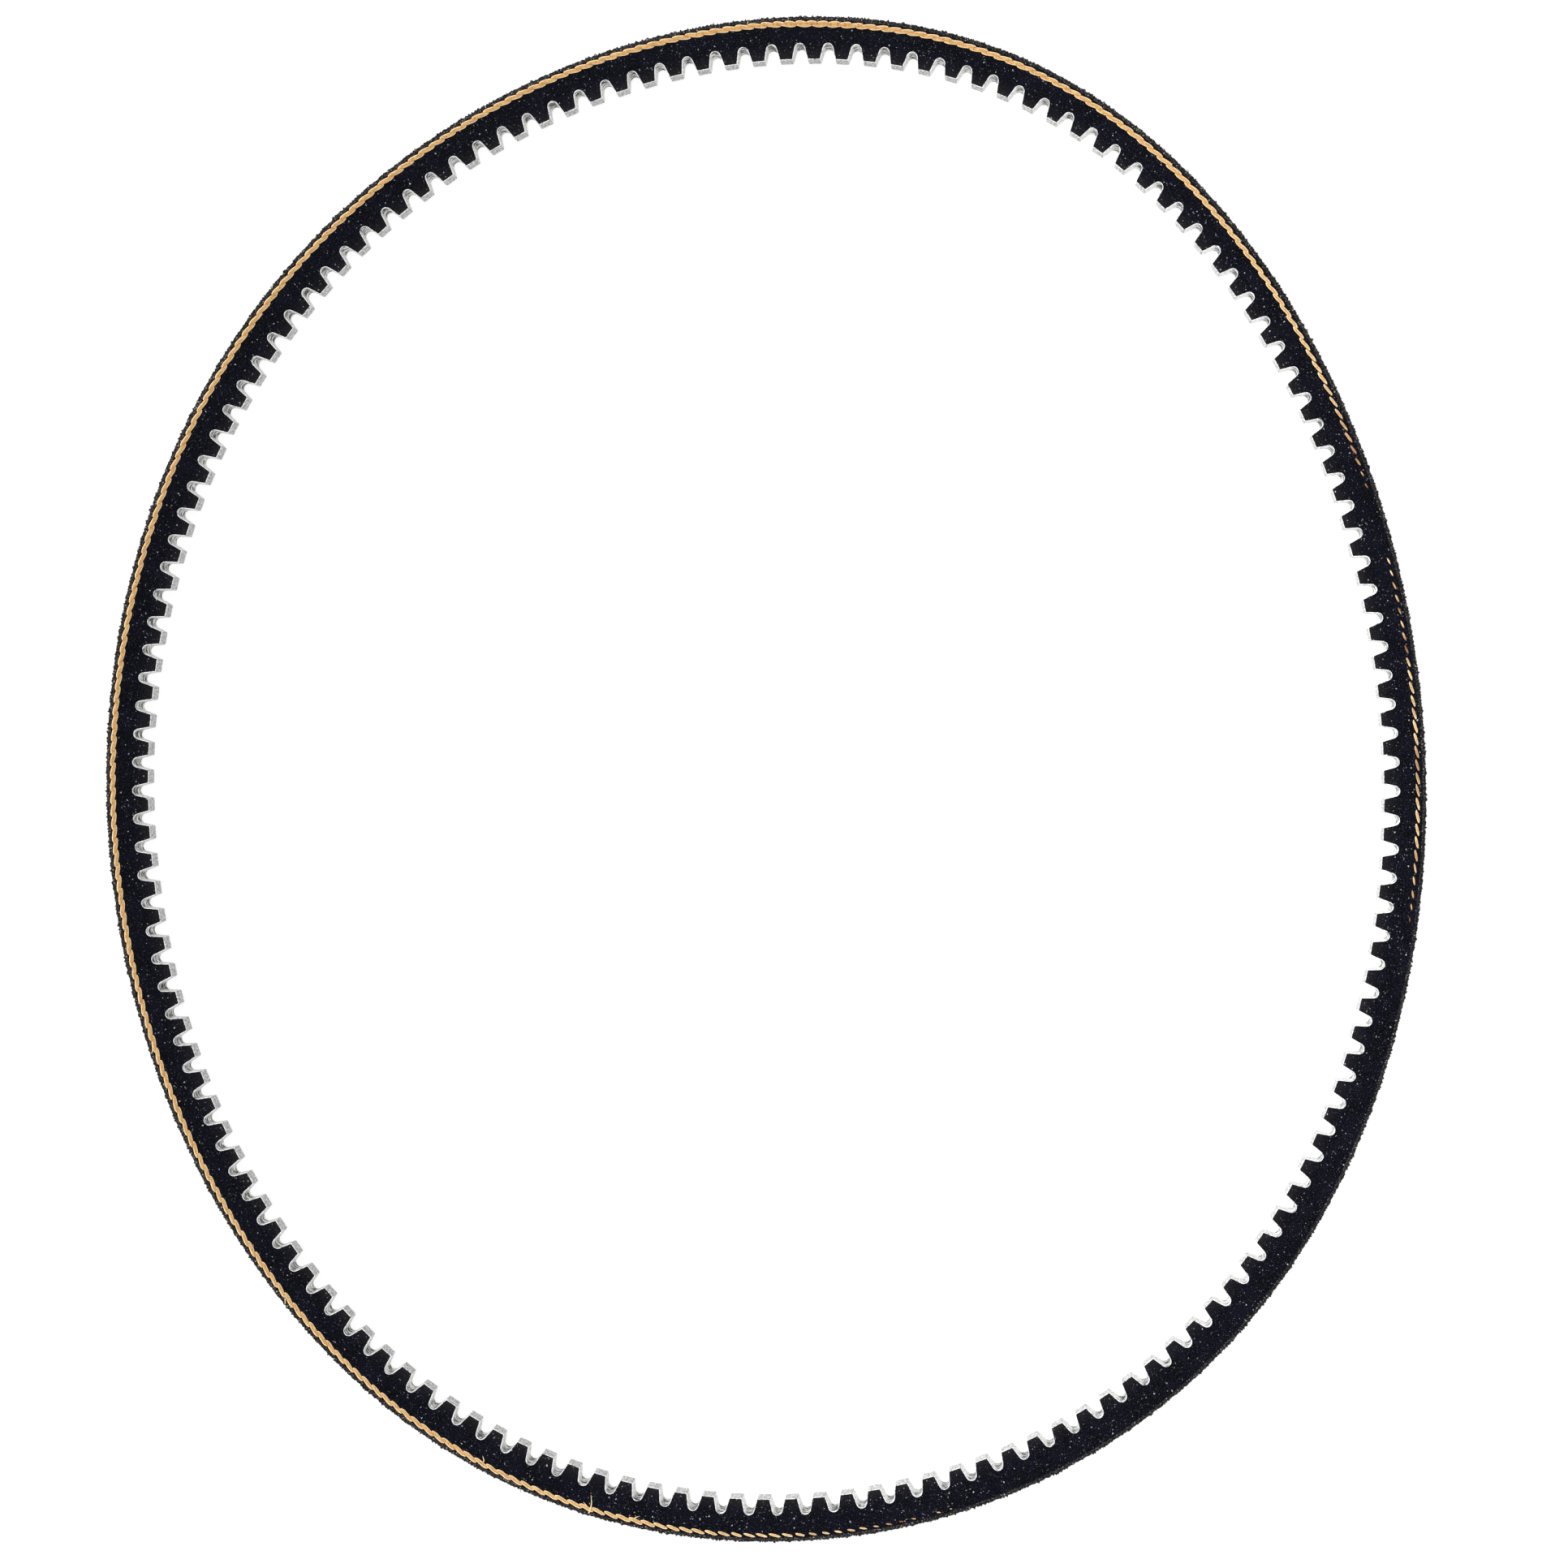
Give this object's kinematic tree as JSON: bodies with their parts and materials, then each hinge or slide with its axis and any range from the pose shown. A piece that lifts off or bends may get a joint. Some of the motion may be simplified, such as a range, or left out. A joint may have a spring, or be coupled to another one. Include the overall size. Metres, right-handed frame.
{
  "type": "cogged v-belt",
  "caption": "Raw-edge cogged V-belt in a relaxed oval loop, with a woven back, an exposed twisted cord and grey-faced cogs; it flexes in its plane.",
  "frame": {"origin": "centre of the loop's bounding box, at half the belt's width", "axes": "+Z across the belt, along the pulleys' axes; +Y along the longer way of the relaxed loop; +X along the shorter way"},
  "size_m": [0.2649, 0.3052, 0.01],
  "materials": {
    "back_fabric": "black woven fabric, rubber soaked, frayed at its cut edges",
    "bed_rubber": "soft black rubber, matt",
    "tension_cord": "twisted tan polyester cord",
    "cog_rubber": "hard black rubber filled with short fibres, cut matt face",
    "cog_facing": "fine grey knitted cover"
  },
  "bodies": {
    "span_1": {"back_fabric_1": "back_fabric", "cord_bed_1": "bed_rubber", "tension_cord_1": "tension_cord", "cog_rubber_1": "cog_rubber", "cog_facing_1": "cog_facing"},
    "span_2": {"back_fabric_2": "back_fabric", "cord_bed_2": "bed_rubber", "tension_cord_2": "tension_cord", "cog_rubber_2": "cog_rubber", "cog_facing_2": "cog_facing"},
    "span_3": {"back_fabric_3": "back_fabric", "cord_bed_3": "bed_rubber", "tension_cord_3": "tension_cord", "cog_rubber_3": "cog_rubber", "cog_facing_3": "cog_facing"},
    "span_4": {"back_fabric_4": "back_fabric", "cord_bed_4": "bed_rubber", "tension_cord_4": "tension_cord", "cog_rubber_4": "cog_rubber", "cog_facing_4": "cog_facing"},
    "span_5": {"back_fabric_5": "back_fabric", "cord_bed_5": "bed_rubber", "tension_cord_5": "tension_cord", "cog_rubber_5": "cog_rubber", "cog_facing_5": "cog_facing"},
    "span_6": {"back_fabric_6": "back_fabric", "cord_bed_6": "bed_rubber", "tension_cord_6": "tension_cord", "cog_rubber_6": "cog_rubber", "cog_facing_6": "cog_facing"},
    "span_7": {"back_fabric_7": "back_fabric", "cord_bed_7": "bed_rubber", "tension_cord_7": "tension_cord", "cog_rubber_7": "cog_rubber", "cog_facing_7": "cog_facing"},
    "span_8": {"back_fabric_8": "back_fabric", "cord_bed_8": "bed_rubber", "tension_cord_8": "tension_cord", "cog_rubber_8": "cog_rubber", "cog_facing_8": "cog_facing"},
    "span_9": {"back_fabric_9": "back_fabric", "cord_bed_9": "bed_rubber", "tension_cord_9": "tension_cord", "cog_rubber_9": "cog_rubber", "cog_facing_9": "cog_facing"}
  },
  "joints": [
    {"name": "bend_1_2", "type": "hinge", "parent": "span_2", "child": "span_1", "pos_m": [-0.0433, 0.13981, 0], "axis": [0, 0, -1], "range_deg": [-15.57, 15.57]},
    {"name": "bend_2_3", "type": "hinge", "parent": "span_3", "child": "span_2", "pos_m": [-0.11935, 0.0613, 0], "axis": [0, 0, -1], "range_deg": [-15.1, 15.1]},
    {"name": "bend_3_4", "type": "hinge", "parent": "span_4", "child": "span_3", "pos_m": [-0.12412, -0.04868, 0], "axis": [0, 0, -1], "range_deg": [-14.95, 14.95]},
    {"name": "bend_4_5", "type": "hinge", "parent": "span_5", "child": "span_4", "pos_m": [-0.05844, -0.1361, 0], "axis": [0, 0, -1], "range_deg": [-15, 15]},
    {"name": "bend_5_6", "type": "hinge", "parent": "span_5", "child": "span_6", "pos_m": [0.04977, -0.14116, 0], "axis": [0, 0, 1], "range_deg": [-15, 15]},
    {"name": "bend_6_7", "type": "hinge", "parent": "span_6", "child": "span_7", "pos_m": [0.12213, -0.0601, 0], "axis": [0, 0, 1], "range_deg": [-14.84, 14.84]},
    {"name": "bend_7_8", "type": "hinge", "parent": "span_7", "child": "span_8", "pos_m": [0.12343, 0.05037, 0], "axis": [0, 0, 1], "range_deg": [-15.62, 15.62]},
    {"name": "bend_8_9", "type": "hinge", "parent": "span_8", "child": "span_9", "pos_m": [0.05931, 0.13895, 0], "axis": [0, 0, 1], "range_deg": [-14.94, 14.94]}
  ],
  "couplings": [
    {"joint": "bend_7_8", "follows": "bend_5_6", "ratio": -1.0413},
    {"joint": "bend_1_2", "follows": "bend_5_6", "ratio": 1.0378},
    {"joint": "bend_3_4", "follows": "bend_5_6", "ratio": -0.9965},
    {"joint": "bend_6_7", "follows": "bend_4_5", "ratio": -0.9891},
    {"joint": "bend_8_9", "follows": "bend_4_5", "ratio": 0.996},
    {"joint": "bend_2_3", "follows": "bend_4_5", "ratio": -1.0069}
  ]
}
